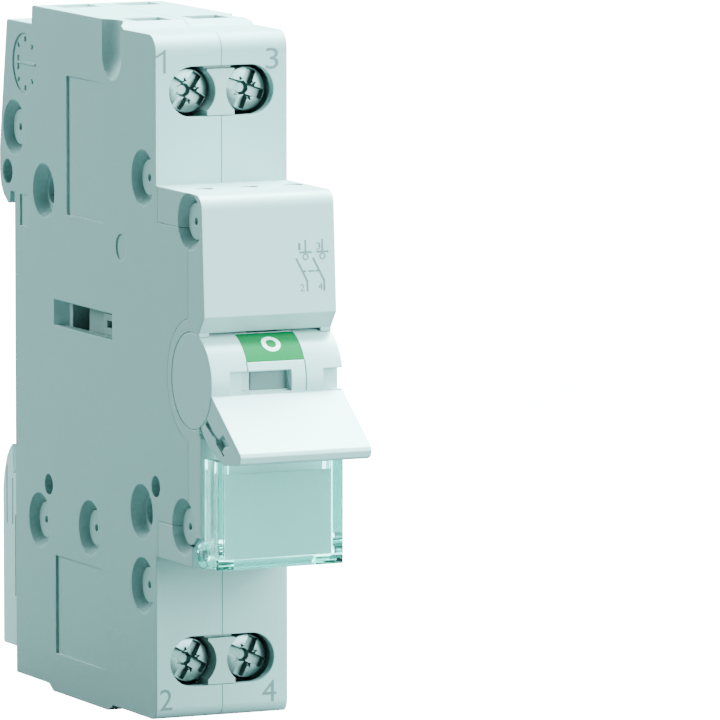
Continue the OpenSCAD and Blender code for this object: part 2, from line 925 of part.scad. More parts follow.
module opening_spring() {
    color("#aab0b4")
        translate([0, y_car_back - open_spring_seat + 0.02, 0])
            coil(open_spring_r, 0.18, y_room - y_car_back + 2 * open_spring_seat - 0.04, 9);
}

// strip from the terminal to the fixed contact
module terminal_bar(side, zt, s) {
    color("#c98a5a")
        across(side * pole_x - bar_w / 2, bar_w) {
            rect([y_bar, s * (leg_top - bar_t)], [y_bar_back, zt + s * bar_end]);
            rect([y_bar, s * (leg_top - bar_t)], [y_fix + tip_t + bar_t, s * leg_top]);
            rect([y_fix + tip_t, s * fixed_low], [y_fix + tip_t + bar_t, s * leg_top]);
            rect([y_fix, s * (bridge_z - 0.2)], [y_fix + tip_t + eps, s * (bridge_z - 0.2 - tip_h)]);
        }
}

module terminal_bar_1() {
    terminal_bar(-1, z_up, 1);
}

module terminal_bar_2() {
    terminal_bar(-1, z_dn, -1);
}

module terminal_bar_3() {
    terminal_bar(1, z_up, 1);
}

module terminal_bar_4() {
    terminal_bar(1, z_dn, -1);
}

// clamp cage, threaded in front and open along the conductor
module cage(side, zt) {
    color("#b7bcc0")
        translate([side * pole_x, 0, zt])
            difference() {
                block([-cage_w / 2, y_cage, -cage_h / 2], [cage_w / 2, y_cage_back, cage_h / 2]);
                upward(-cage_h / 2 - over, cage_h + 2 * over)
                    rect([-cage_in_w / 2, y_cage + cage_front_t], [cage_in_w / 2, y_cage_in]);
                translate([0, y_cage - over, 0])
                    rotate([-90, 0, 0])
                        cylinder(r = screw_r + turn_fit, h = cage_front_t + 2 * over);
            }
}

module cage_1() {
    cage(-1, z_up);
}

module cage_2() {
    cage(-1, z_dn);
}

module cage_3() {
    cage(1, z_up);
}

module cage_4() {
    cage(1, z_dn);
}

// terminal screw with a slot and a cross in its head
module screw(side, zt) {
    slot_w = 0.9;
    cross_w = 1.1;
    color("#c9ced2")
        translate([side * pole_x, y_head, zt])
            rotate([-90, 0, 0])
                difference() {
                    union() {
                        cylinder(r = head_r, h = head_l);
                        cylinder(r = screw_r, h = y_bar - y_head - 0.03);
                    }
                    rotate(20) {
                        translate([-head_r - over, -slot_w / 2, -over])
                            cube([2 * head_r + 2 * over, slot_w, over + 0.9]);
                        translate([-1.75, -cross_w / 2, -over])
                            cube([3.5, cross_w, over + 1.8]);
                        translate([-cross_w / 2, -1.75, -over])
                            cube([cross_w, 3.5, over + 1.8]);
                        rotate(45)
                            translate([-0.9, -0.9, -over])
                                cube([1.8, 1.8, over + 0.9]);
                    }
                }
}

module screw_1() {
    screw(-1, z_up);
}

module screw_2() {
    screw(-1, z_dn);
}

module screw_3() {
    screw(1, z_up);
}

module screw_4() {
    screw(1, z_dn);
}

// tubular rivet through both halves, with a dimple in each head
module rivet(i) {
    p = RIVETS[i];
    length = 2 * (inner_x + rivet_head_t);
    color("#9fb1b1")
        translate([-length / 2, p[0], p[1]])
            rotate([0, 90, 0])
                difference() {
                    union() {
                        cylinder(r = rivet_head_r, h = rivet_head_t);
                        cylinder(r = rivet_r, h = length);
                        translate([0, 0, length - rivet_head_t])
                            cylinder(r = rivet_head_r, h = rivet_head_t);
                    }
                    translate([0, 0, -over])
                        cylinder(r = 0.45, h = over + 0.5);
                    translate([0, 0, length - 0.5])
                        cylinder(r = 0.45, h = over + 0.5);
                }
}

module rivet_1() {
    rivet(0);
}

module rivet_2() {
    rivet(1);
}

module rivet_3() {
    rivet(2);
}

module rivet_4() {
    rivet(3);
}

module rivet_5() {
    rivet(4);
}

module rivet_6() {
    rivet(5);
}

module rivet_7() {
    rivet(6);
}

// sliding clip that holds the rail's lower edge
module rail_clip() {
    slit = 0.35;
    color("#d3dedc")
        difference() {
            union() {
                across(-clip_x, 2 * clip_x)
                    polygon([
                        [fit, ledge_z],
                        [slot_y, ledge_z],
                        [slot_y, clip_top],
                        [slot_y + 0.3, clip_top],
                        [slot_y + 1, clip_top - 0.4],
                        [clip_d - 1.2, clip_top - 1.8],
                        [clip_d - 0.3, clip_top - 4.1],
                        [clip_d, clip_top - 6],
                        [clip_d, clip_low + 0.3],
                        [clip_d - 0.3, clip_low],
                        [fit, clip_low]
                    ]);
                upward(tongue_low, tongue_top - tongue_low)
                    tongue_shape(0, fit + eps);
            }
            // slits that make the hook springy
            across(-clip_x - over, 2 * clip_x + 2 * over) {
                rect([clip_d - 1.45, clip_top - 2.9], [clip_d - 1.45 + slit, clip_top - 10.2]);
                rect([slot_y + 0.15, ledge_z - 0.7], [slot_y + 0.15 + slit, clip_top - 10.2]);
            }
            // relief on the side that faces the case
            for (s = [0, 1])
                mirror([s, 0, 0])
                    across(-clip_x - over, clip_x + over - tongue_neck_w / 2 - 0.8)
                        rect([-over, tongue_top - 3], [0.75, tongue_low + 0.3]);
            // pocket for a screwdriver blade
            block([-2.6, clip_d - 2.2, clip_low + 1.2], [2.6, clip_d + over, clip_low + 3.2]);
        }
}

module label_holder() {
    side_x = holder_w / 2;
    plate_y = holder_front + holder_wall;
    ledge_y = plate_y + 0.35;
    color([0.6, 0.9, 0.86, 0.5])
        difference() {
            union() {
                block([-side_x, holder_front, holder_low], [side_x, plate_y, holder_top]);
                across(-side_x, holder_w)
                    rect([holder_front, holder_low], [hinge_y - knuckle_r - 0.2, holder_low + holder_wall]);
                for (s = [0, 1])
                    mirror([s, 0, 0]) {
                        across(-side_x, holder_wall)
                            rect([holder_front, holder_low], [holder_back, holder_top]);
                        across(-side_x, knuckle_l) {
                            translate([hinge_y, hinge_z])
                                circle(r = knuckle_r);
                            rect([holder_front + 0.5, holder_low], [hinge_y, holder_low + holder_wall]);
                        }
                        // ledge behind which the card slides
                        across(-side_x + holder_wall - eps, 0.7 + eps)
                            rect([ledge_y, holder_low + holder_wall], [ledge_y + 0.55, holder_top]);
                    }
            }
            across(-half_w - over, body_w + 2 * over)
                translate([hinge_y, hinge_z])
                    circle(r = hinge_pin_r + fit / 2);
        }
}

module label_card() {
    side_x = holder_w / 2 - holder_wall - 0.1;
    card_y = holder_front + holder_wall + fit;
    color("#b9cdcb")
        block([-side_x, card_y, holder_low + holder_wall + fit], [side_x, card_y + 0.25, holder_top - 1.6]);
}

module holder_pin() {
    color("#c9ced2")
        across(-holder_w / 2 + 0.3, holder_w - 0.6)
            translate([hinge_y, hinge_z])
                circle(r = hinge_pin_r);
}

left_case();
right_case();
front_cover();
upper_partition();
lower_partition();
upper_screw_guide();
lower_screw_guide();
toggle();
indicator_off();
indicator_on();
crank_pin();
carrier();
bridge_left();
bridge_right();
contact_spring_left();
contact_spring_right();
opening_spring();
terminal_bar_1();
terminal_bar_2();
terminal_bar_3();
terminal_bar_4();
cage_1();
cage_2();
cage_3();
cage_4();
screw_1();
screw_2();
screw_3();
screw_4();
rivet_1();
rivet_2();
rivet_3();
rivet_4();
rivet_5();
rivet_6();
rivet_7();
rail_clip();
label_holder();
label_card();
holder_pin();
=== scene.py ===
import math

import bmesh
import bpy
from mathutils import Matrix, Vector


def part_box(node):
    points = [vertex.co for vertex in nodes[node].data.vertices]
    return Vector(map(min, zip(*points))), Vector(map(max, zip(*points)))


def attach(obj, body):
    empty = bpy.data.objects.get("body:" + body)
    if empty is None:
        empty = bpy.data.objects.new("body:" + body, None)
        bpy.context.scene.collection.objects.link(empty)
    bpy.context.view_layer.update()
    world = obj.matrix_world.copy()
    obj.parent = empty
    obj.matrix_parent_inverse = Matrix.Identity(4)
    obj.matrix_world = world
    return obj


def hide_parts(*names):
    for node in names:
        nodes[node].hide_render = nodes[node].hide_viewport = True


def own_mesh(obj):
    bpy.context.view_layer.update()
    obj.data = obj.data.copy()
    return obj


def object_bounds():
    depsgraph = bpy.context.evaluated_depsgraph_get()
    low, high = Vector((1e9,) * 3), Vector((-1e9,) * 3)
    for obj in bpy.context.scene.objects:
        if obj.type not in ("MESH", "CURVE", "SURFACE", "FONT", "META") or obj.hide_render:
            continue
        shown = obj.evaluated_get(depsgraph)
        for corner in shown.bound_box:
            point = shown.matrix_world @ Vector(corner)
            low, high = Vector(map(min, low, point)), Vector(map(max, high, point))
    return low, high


mm = 0.001

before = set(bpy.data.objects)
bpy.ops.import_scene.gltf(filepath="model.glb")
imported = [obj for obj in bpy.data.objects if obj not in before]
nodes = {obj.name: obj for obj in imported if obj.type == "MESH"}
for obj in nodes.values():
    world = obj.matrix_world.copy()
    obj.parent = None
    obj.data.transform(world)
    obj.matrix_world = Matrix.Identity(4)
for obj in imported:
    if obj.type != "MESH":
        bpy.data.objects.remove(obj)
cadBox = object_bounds()


# shader helpers

def addNode(tree, kind, **values):
    # values are the node's own settings, or else its inputs
    node = tree.nodes.new(kind)
    for key, value in values.items():
        if hasattr(node, key):
            setattr(node, key, value)
        else:
            node.inputs[key].default_value = value
    return node


def addSockets(group, direction, kind, *names):
    for name in names:
        group.interface.new_socket(name=name, in_out=direction, socket_type=kind)


def buildGrain(name, look):
    # clouding mixes two tints, fine grain gives the height, and one of them varies the gloss
    group = bpy.data.node_groups.new(name, "ShaderNodeTree")
    addSockets(group, "INPUT", "NodeSocketColor", "Deep", "Light")
    addSockets(group, "INPUT", "NodeSocketFloat", "Cloud Scale", "Grain Scale", "Smooth", "Rough")
    addSockets(group, "OUTPUT", "NodeSocketColor", "Tint")
    addSockets(group, "OUTPUT", "NodeSocketFloat", "Roughness", "Height")
    entry = group.nodes.new("NodeGroupInput")
    leave = group.nodes.new("NodeGroupOutput")
    place = addNode(group, "ShaderNodeTexCoord")
    textures = {}
    for kind in ("Cloud", "Grain"):
        textures[kind] = addNode(group, "ShaderNodeTexNoise", **look[kind])
        group.links.new(place.outputs["Object"], textures[kind].inputs["Vector"])
        group.links.new(entry.outputs[kind + " Scale"], textures[kind].inputs["Scale"])
    tint = addNode(group, "ShaderNodeMix", data_type="RGBA")
    group.links.new(textures["Cloud"].outputs["Fac"], tint.inputs[0])
    group.links.new(entry.outputs["Deep"], tint.inputs[6])
    group.links.new(entry.outputs["Light"], tint.inputs[7])
    gloss = addNode(group, "ShaderNodeMapRange")
    gloss.inputs["From Min"].default_value, gloss.inputs["From Max"].default_value = look["glossRange"]
    group.links.new(textures[look["glossBy"]].outputs["Fac"], gloss.inputs["Value"])
    group.links.new(entry.outputs["Smooth"], gloss.inputs["To Min"])
    group.links.new(entry.outputs["Rough"], gloss.inputs["To Max"])
    group.links.new(tint.outputs[2], leave.inputs["Tint"])
    group.links.new(gloss.outputs["Result"], leave.inputs["Roughness"])
    group.links.new(textures["Grain"].outputs["Fac"], leave.inputs["Height"])
    return group


# spark-eroded plastic shines on its grain, plated metal in patches
mouldGrain = buildGrain("mouldGrain", {"Cloud": {"Detail": 4.0, "Roughness": 0.55},
    "Grain": {"Detail": 3.0, "Roughness": 0.6}, "glossBy": "Grain", "glossRange": (0.3, 0.7)})
metalGrain = buildGrain("metalGrain", {"Cloud": {"Detail": 3.0}, "Grain": {"Detail": 2.0},
    "glossBy": "Cloud", "glossRange": (0.0, 1.0)})


def newMaterial(name):
    material = bpy.data.materials.new(name)
    material.use_nodes = True
    tree = material.node_tree
    return material, tree, tree.nodes["Principled BSDF"]


def placeGrain(tree, shader, group, look):
    grain = tree.nodes.new("ShaderNodeGroup")
    grain.node_tree = group
    grain.inputs["Deep"].default_value = (*look["deep"], 1)
    grain.inputs["Light"].default_value = (*look["light"], 1)
    grain.inputs["Cloud Scale"].default_value = look["cloudScale"]
    grain.inputs["Grain Scale"].default_value = look["grainScale"]
    grain.inputs["Smooth"].default_value = look["smooth"]
    grain.inputs["Rough"].default_value = look["rough"]
    tree.links.new(grain.outputs["Tint"], shader.inputs["Base Color"])
    tree.links.new(grain.outputs["Roughness"], shader.inputs["Roughness"])
    return grain


surface = {"edgeSamples": 6, "bumpStrength": 0.6}


def softNormal(tree, shader, radius, height, depth):
    # rounds the look of every sharp edge, with the grain on top
    bevel = addNode(tree, "ShaderNodeBevel", samples=surface["edgeSamples"])
    bevel.inputs["Radius"].default_value = radius
    bump = addNode(tree, "ShaderNodeBump", Strength=surface["bumpStrength"], Distance=depth)
    tree.links.new(height, bump.inputs["Height"])
    tree.links.new(bevel.outputs["Normal"], bump.inputs["Normal"])
    tree.links.new(bump.outputs["Normal"], shader.inputs["Normal"])


def addSeam(tree, shader, grain, look):
    # dark hairline at the middle of the width, where the two case halves meet
    place = addNode(tree, "ShaderNodeTexCoord")
    split = addNode(tree, "ShaderNodeSeparateXYZ")
    tree.links.new(place.outputs["Object"], split.inputs["Vector"])
    away = addNode(tree, "ShaderNodeMath", operation="ABSOLUTE")
    tree.links.new(split.outputs["X"], away.inputs[0])
    line = addNode(tree, "ShaderNodeMapRange", interpolation_type="SMOOTHSTEP")
    line.inputs["From Min"].default_value = look["seamHalf"]
    line.inputs["From Max"].default_value = look["seamHalf"] * look["seamFade"]
    tree.links.new(away.outputs["Value"], line.inputs["Value"])
    seam = addNode(tree, "ShaderNodeMix", data_type="RGBA")
    seam.inputs[6].default_value = (*look["seam"], 1)
    tree.links.new(line.outputs["Result"], seam.inputs[0])
    tree.links.new(grain.outputs["Tint"], seam.inputs[7])
    tree.links.new(seam.outputs[2], shader.inputs["Base Color"])


def mouldedPlastic(name, look):
    material, tree, shader = newMaterial(name)
    grain = placeGrain(tree, shader, mouldGrain, look)
    shader.inputs["Specular IOR Level"].default_value = look["specular"]
    softNormal(tree, shader, look["edge"], grain.outputs["Height"], look["grainDepth"])
    if "seam" in look:
        addSeam(tree, shader, grain, look)
    return material


def platedMetal(name, look):
    material, tree, shader = newMaterial(name)
    shader.inputs["Metallic"].default_value = 1.0
    grain = placeGrain(tree, shader, metalGrain, look)
    softNormal(tree, shader, look["edge"], grain.outputs["Height"], look["grainDepth"])
    return material


def clearPlastic(name, look):
    # tinted clear moulding: glassy, with its colour gathered in the thick edges
    material, tree, shader = newMaterial(name)
    shader.inputs["Base Color"].default_value = (*look["tint"], 1)
    shader.inputs["Transmission Weight"].default_value = 1.0
    shader.inputs["IOR"].default_value = look["ior"]
    shader.inputs["Roughness"].default_value = look["rough"]
    place = addNode(tree, "ShaderNodeTexCoord")
    flow = addNode(tree, "ShaderNodeTexNoise", Scale=look["flowScale"], Detail=look["flowDetail"])
    tree.links.new(place.outputs["Object"], flow.inputs["Vector"])
    softNormal(tree, shader, look["edge"], flow.outputs["Fac"], look["flowDepth"])
    depth = addNode(tree, "ShaderNodeVolumeAbsorption")
    depth.inputs["Color"].default_value = (*look["edgeTint"], 1)
    depth.inputs["Density"].default_value = look["density"]
    tree.links.new(depth.outputs["Volume"], tree.nodes["Material Output"].inputs["Volume"])
    return material


# finishes, in the photograph's colours; scales are per metre, and depths, edges and seams in metres

mouldBase = {"cloudScale": 90, "grainScale": 5600, "grainDepth": 0.00002, "smooth": 0.44, "rough": 0.56,
    "specular": 0.35, "edge": 0.0002}
mouldings = {
    "caseGrey": {"deep": (0.31, 0.455, 0.445), "light": (0.33, 0.48, 0.47), "grainScale": 5200,
        "grainDepth": 0.00003, "smooth": 0.46, "rough": 0.58,
        "seam": (0.10, 0.15, 0.15), "seamHalf": 0.00004, "seamFade": 1.6},
    "coverGrey": {"deep": (0.36, 0.49, 0.48), "light": (0.38, 0.52, 0.51), "grainScale": 6500,
        "grainDepth": 0.000012, "smooth": 0.36, "rough": 0.46, "specular": 0.4, "edge": 0.00022},
    "leverGrey": {"deep": (0.40, 0.55, 0.54), "light": (0.42, 0.58, 0.57), "grainScale": 6500,
        "grainDepth": 0.00001, "smooth": 0.32, "rough": 0.42, "specular": 0.45, "edge": 0.00025},
    "guideGrey": {"deep": (0.29, 0.40, 0.39), "light": (0.31, 0.43, 0.42), "grainScale": 6000,
        "grainDepth": 0.00001, "smooth": 0.38, "rough": 0.48, "specular": 0.4, "edge": 0.0001},
    "clipGrey": {"deep": (0.66, 0.84, 0.82), "light": (0.69, 0.87, 0.85), "smooth": 0.4, "rough": 0.5,
        "specular": 0.4},
    "carrierGrey": {"deep": (0.17, 0.25, 0.24), "light": (0.19, 0.28, 0.27), "edge": 0.00012},
    # recess insert grey: darkened well below the case as painted shade of the drum's pocket
    "insertShadeGrey": {"deep": (0.12, 0.18, 0.175), "light": (0.135, 0.20, 0.195), "smooth": 0.42,
        "rough": 0.54, "specular": 0.3, "edge": 0.0001},
    "innerWhite": {"deep": (0.55, 0.56, 0.50), "light": (0.60, 0.61, 0.55), "edge": 0.00015},
    # label card: its dark grey is painted shade of the lever's shadow over the holder; the paper itself is
    # paler
    "card": {"deep": (0.125, 0.188, 0.182), "light": (0.136, 0.204, 0.198), "cloudScale": 200,
        "grainScale": 3500, "grainDepth": 0.00001, "smooth": 0.7, "rough": 0.8, "specular": 0.2,
        "edge": 0.00002},
}
inkBase = {"cloudScale": 120, "grainScale": 6500, "grainDepth": 0.000004, "smooth": 0.45, "rough": 0.55,
    "specular": 0.3, "edge": 0.00002}
inks = {
    "greenInk": {"deep": (0.0005, 0.155, 0.047), "light": (0.001, 0.17, 0.053), "grainDepth": 0.000008,
        "smooth": 0.5, "rough": 0.6, "specular": 0.03, "edge": 0.00005},
    "redInk": {"deep": (0.30, 0.008, 0.008), "light": (0.34, 0.012, 0.012), "grainDepth": 0.000008,
        "smooth": 0.3, "rough": 0.4, "specular": 0.45, "edge": 0.00005},
    "whiteInk": {"deep": (0.78, 0.86, 0.84), "light": (0.82, 0.9, 0.88), "smooth": 0.35, "rough": 0.45,
        "specular": 0.4},
    "greyInk": {"deep": (0.115, 0.16, 0.16), "light": (0.13, 0.18, 0.18)},
    "paleInk": {"deep": (0.12, 0.175, 0.17), "light": (0.14, 0.20, 0.195)},
}
metalBase = {"cloudScale": 700, "grainScale": 9000, "grainDepth": 0.00001, "smooth": 0.24, "rough": 0.4,
    "edge": 0.0001}
metals = {
    "zincSteel": {"deep": (0.10, 0.145, 0.14), "light": (0.21, 0.285, 0.275), "smooth": 0.26,
        "rough": 0.42, "edge": 0.00006},
    "springSteel": {"deep": (0.42, 0.43, 0.45), "light": (0.55, 0.56, 0.58), "cloudScale": 900,
        "grainDepth": 0.000005, "edge": 0.00003},
    "copper": {"deep": (0.72, 0.36, 0.22), "light": (0.82, 0.46, 0.30), "cloudScale": 500,
        "grainScale": 8000, "grainDepth": 0.000008, "smooth": 0.22, "rough": 0.38},
}
clears = {
    "clearAqua": {"tint": (0.80, 0.965, 0.95), "edgeTint": (0.10, 0.80, 0.74), "density": 300, "ior": 1.49,
        "rough": 0.03, "flowScale": 300, "flowDetail": 1.0, "flowDepth": 0.00002, "edge": 0.00012},
}
finishes = {}
for make, base, looks in ((mouldedPlastic, mouldBase, mouldings), (mouldedPlastic, inkBase, inks),
        (platedMetal, metalBase, metals), (clearPlastic, {}, clears)):
    for name, look in looks.items():
        finishes[name] = make(name, {**base, **look})
print("materials made")


def setFinish(piece, finish):
    piece.data.materials.clear()
    piece.data.materials.append(finishes[finish])


nodeFinish = {
    "left_case": "caseGrey", "right_case": "caseGrey", "front_cover": "coverGrey",
    "upper_partition": "innerWhite", "lower_partition": "innerWhite",
    "upper_screw_guide": "guideGrey", "lower_screw_guide": "guideGrey",
    "toggle": "leverGrey", "indicator_off": "greenInk", "indicator_on": "redInk",
    "crank_pin": "springSteel", "carrier": "carrierGrey",
    "bridge_left": "copper", "bridge_right": "copper",
    "contact_spring_left": "springSteel", "contact_spring_right": "springSteel",
    "opening_spring": "springSteel", "rail_clip": "clipGrey",
    "label_holder": "clearAqua", "label_card": "card", "holder_pin": "springSteel",
}
for number in range(1, 5):
    nodeFinish[f"terminal_bar_{number}"] = "copper"
    nodeFinish[f"cage_{number}"] = "zincSteel"
    nodeFinish[f"screw_{number}"] = "zincSteel"
for number in range(1, 8):
    nodeFinish[f"rivet_{number}"] = "caseGrey"
for name, finish in nodeFinish.items():
    setFinish(nodes[name], finish)
print("CAD nodes finished")


# mesh helpers

def linkPiece(bm, name):
    # turns the faces outwards and puts the mesh in the scene as a new object
    mesh = bpy.data.meshes.new(name)
    bmesh.ops.recalc_face_normals(bm, faces=bm.faces)
    bm.to_mesh(mesh)
    bm.free()
    piece = bpy.data.objects.new(name, mesh)
    bpy.context.scene.collection.objects.link(piece)
    return piece


def meshPiece(bm, name, finish, body):
    piece = linkPiece(bm, name)
    setFinish(piece, finish)
    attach(piece, body)
    return piece


def shadeSmooth(piece, angle):
    piece.data.shade_smooth()
    piece.data.set_sharp_from_angle(angle=math.radians(angle))


def addBox(bm, low, high):
    middle = [(a + b) / 2 for a, b in zip(low, high)]
    size = [b - a for a, b in zip(low, high)]
    made = bmesh.ops.create_cube(bm, size=1.0)
    bmesh.ops.scale(bm, verts=made["verts"], vec=size)
    bmesh.ops.translate(bm, verts=made["verts"], vec=middle)
    return made["verts"]


def printStroke(bm, start, end, width, front, thick):
    # one straight printed line on a face that looks along -Y; points are width and height
    a, b = Vector((start[0], 0, start[1])), Vector((end[0], 0, end[1]))
    run = b - a
    verts = addBox(bm, (-width / 2, -thick, -width / 2), (run.length + width / 2, 0, width / 2))
    turn = Matrix.Rotation(-math.atan2(run.z, run.x), 3, "Y")
    bmesh.ops.rotate(bm, verts=verts, matrix=turn)
    bmesh.ops.translate(bm, verts=verts, vec=a + Vector((0, front, 0)))


lettering = {"extrude": 0.002, "curveSteps": 6, "mergeDistance": 1e-5}


def addText(bm, look):
    # a printed figure: flat text turned to a mesh, standing up and looking along -Y
    curve = bpy.data.curves.new("figure", "FONT")
    curve.body = look["text"]
    curve.extrude = lettering["extrude"]
    curve.resolution_u = lettering["curveSteps"]
    holder = bpy.data.objects.new("figure", curve)
    bpy.context.scene.collection.objects.link(holder)
    bpy.context.view_layer.update()
    mesh = bpy.data.meshes.new_from_object(holder.evaluated_get(bpy.context.evaluated_depsgraph_get()))
    bpy.data.objects.remove(holder)
    low = Vector([min(v.co[i] for v in mesh.vertices) for i in range(3)])
    high = Vector([max(v.co[i] for v in mesh.vertices) for i in range(3)])
    figure = bmesh.new()
    figure.from_mesh(mesh)
    bmesh.ops.remove_doubles(figure, verts=figure.verts, dist=lettering["mergeDistance"])
    bmesh.ops.translate(figure, verts=figure.verts, vec=-(low + high) / 2)
    wide = (look["right"] - look["left"]) / (high.x - low.x)
    tall = (look["high"] - look["low"]) / (high.y - low.y)
    bmesh.ops.scale(figure, verts=figure.verts, vec=(wide, tall, look["thick"] / (high.z - low.z)))
    bmesh.ops.rotate(figure, verts=figure.verts, matrix=Matrix.Rotation(math.radians(90), 3, "X"))
    bmesh.ops.translate(figure, verts=figure.verts, vec=((look["left"] + look["right"]) / 2,
        look["front"] - look["thick"] / 2, (look["low"] + look["high"]) / 2))
    figure.to_mesh(mesh)
    figure.free()
    bm.from_mesh(mesh)
    bpy.data.meshes.remove(mesh)


def addRing(bm, outer, inner, thick, segments):
    # flat ring round the origin, standing on the XY plane
    loops = []
    for radius in (outer, inner):
        made = bmesh.ops.create_circle(bm, segments=segments, radius=radius)["verts"]
        loops += [edge for edge in bm.edges if all(vert in made for vert in edge.verts)]
    flat = bmesh.ops.bridge_loops(bm, edges=loops)["faces"]
    raised = bmesh.ops.extrude_face_region(bm, geom=flat, use_keep_orig=True)["geom"]
    raised = [item for item in raised if isinstance(item, bmesh.types.BMVert)]
    bmesh.ops.translate(bm, verts=raised, vec=(0, 0, thick))
    return list({vert for face in flat for vert in face.verts}) + raised


# terminal numbers on the shoulders

shoulderY = -44 * mm
numberThick = 0.02 * mm
numbers = {
    "number3": {"text": "3", "left": 5.9 * mm, "right": 7.6 * mm, "low": 36.2 * mm, "high": 38.8 * mm},
    "number2": {"text": "2", "left": -8.3 * mm, "right": -6.65 * mm, "low": -41.6 * mm, "high": -39.0 * mm},
    "number4": {"text": "4", "left": 5.3 * mm, "right": 7.2 * mm, "low": -41.4 * mm, "high": -38.7 * mm},
}
for name, look in numbers.items():
    look.update(front=shoulderY, thick=numberThick)
    bm = bmesh.new()
    addText(bm, look)
    meshPiece(bm, name, "greyInk", "case")

numberOne = {"bar": -7.5 * mm, "low": 36.35 * mm, "high": 38.85 * mm, "width": 0.33 * mm,
    "thick": numberThick, "flagReach": 1.0 * mm, "flagLow": 0.62 * mm, "flagHigh": 0.1 * mm,
    "flagInset": 0.05 * mm, "flagWidth": 0.2805 * mm, "flagThick": 0.018 * mm}


def buildNumberOne(look):
    bar, high = look["bar"], look["high"]
    bm = bmesh.new()
    printStroke(bm, (bar, look["low"]), (bar, high), look["width"], shoulderY, look["thick"])
    printStroke(bm, (bar - look["flagReach"], high - look["flagLow"]),
        (bar - look["flagInset"], high - look["flagHigh"]), look["flagWidth"], shoulderY, look["flagThick"])
    meshPiece(bm, "number1", "greyInk", "case")


buildNumberOne(numberOne)
print("numbers printed")


# two-pole switch symbol, printed on the leaning front of the nose

symbol = {
    "pitch": 2.22, "line": 0.23, "thick": 0.02, "pivotY": -58.4, "pivotZ": 8.0, "lean": 3.33,
    "strokes": [((4.82, 16.68), (4.82, 15.3)), ((4.16, 15.3), (5.52, 15.3)), ((3.62, 14.52), (4.96, 11.85)),
        ((4.97, 11.85), (4.99, 10.68))],
    "links": [((4.48, 13.02), (4.76, 13.02)), ((5.22, 13.02), (5.8, 13.02)), ((6.14, 13.02), (6.44, 13.02))],
    "layerRise": 0.1,  # each stroke is printed this share thicker than the one before
    "linkWidth": 0.207, "linkThick": 0.016,
    "ring": (4.82, 14.76), "ringOuter": 0.41, "ringInner": 0.25, "ringThick": 0.018, "ringSides": 32,
    "figures": {"1": (3.88, 15.6, 0.3), "3": (6.22, 15.55, 0.6),
        "2": (3.98, 10.62, 0.6), "4": (6.38, 10.7, 0.6)},  # left, low, width
    "figureHeight": 0.86,
}


def buildSymbol(look):
    bm = bmesh.new()
    for pole in (0, 1):
        move = pole * look["pitch"]
        for layer, (start, end) in enumerate(look["strokes"]):
            printStroke(bm, (start[0] + move, start[1]), (end[0] + move, end[1]), look["line"], 0,
                look["thick"] * (1 + look["layerRise"] * layer))
        ring = addRing(bm, look["ringOuter"], look["ringInner"], look["ringThick"], look["ringSides"])
        bmesh.ops.rotate(bm, verts=ring, matrix=Matrix.Rotation(math.radians(90), 3, "X"))
        bmesh.ops.translate(bm, verts=ring, vec=(look["ring"][0] + move, 0, look["ring"][1]))
    for start, end in look["links"]:
        printStroke(bm, start, end, look["linkWidth"], 0, look["linkThick"])
    for text, (left, low, wide) in look["figures"].items():
        addText(bm, {"text": text, "left": left, "right": left + wide, "low": low,
            "high": low + look["figureHeight"], "front": 0, "thick": look["thick"]})
    bmesh.ops.translate(bm, verts=bm.verts, vec=(0, 0, -look["pivotZ"]))
    bmesh.ops.rotate(bm, verts=bm.verts, matrix=Matrix.Rotation(-math.radians(look["lean"]), 3, "X"))
    bmesh.ops.translate(bm, verts=bm.verts, vec=(0, look["pivotY"], look["pivotZ"]))
    bmesh.ops.scale(bm, verts=bm.verts, vec=(mm, mm, mm))
    meshPiece(bm, "switchSymbol", "paleInk", "case")


buildSymbol(symbol)
print("switch symbol printed")


# off and on marks, wrapped round the drum

marks = {"axisY": -54.55 * mm, "radius": 5.83 * mm, "thick": 0.03 * mm, "offAngle": 50.5, "onAngle": -121.5,
    "ringX": 0.1 * mm, "ringOuter": 1.22 * mm, "ringInner": 0.66 * mm, "ringSides": 64,
    "barWidth": 0.55 * mm, "barLength": 2.8 * mm, "barCuts": 11, "smoothAngle": 40}


def wrapOnDrum(bm, angle, look):
    # flat points: x across, y along the rim, z out of it
    for vert in bm.verts:
        turn = math.radians(angle) + vert.co.y / look["radius"]
        reach = look["radius"] + vert.co.z
        vert.co = (vert.co.x, look["axisY"] - reach * math.cos(turn), reach * math.sin(turn))


def buildOffMark(look):
    bm = bmesh.new()
    addRing(bm, look["ringOuter"], look["ringInner"], look["thick"], look["ringSides"])
    bmesh.ops.translate(bm, verts=bm.verts, vec=(look["ringX"], 0, 0))
    wrapOnDrum(bm, look["offAngle"], look)
    shadeSmooth(meshPiece(bm, "offMark", "whiteInk", "toggle"), look["smoothAngle"])


def buildOnMark(look):
    bm = bmesh.new()
    half, reach = look["barWidth"] / 2, look["barLength"] / 2
    addBox(bm, (-half, -reach, 0), (half, reach, look["thick"]))
    bmesh.ops.subdivide_edges(bm, edges=[edge for edge in bm.edges
        if abs(edge.verts[0].co.y - edge.verts[1].co.y) > reach], cuts=look["barCuts"], use_grid_fill=True)
    wrapOnDrum(bm, look["onAngle"], look)
    shadeSmooth(meshPiece(bm, "onMark", "whiteInk", "toggle"), look["smoothAngle"])


buildOffMark(marks)
buildOnMark(marks)
print("off and on marks printed")


# dark grey insert on the floor of the drum's grip recess, with a rounded left end: partly the drum's inner
# part showing through, partly painted shade that makes the shallow pocket look deep

insert = {"left": -3.0, "right": 1.79, "low": -0.89, "high": 1.34, "front": -59.02, "depth": 0.17,
    "round": 0.153, "roundSteps": 4, "edgeReach": 0.01, "smoothAngle": 40}


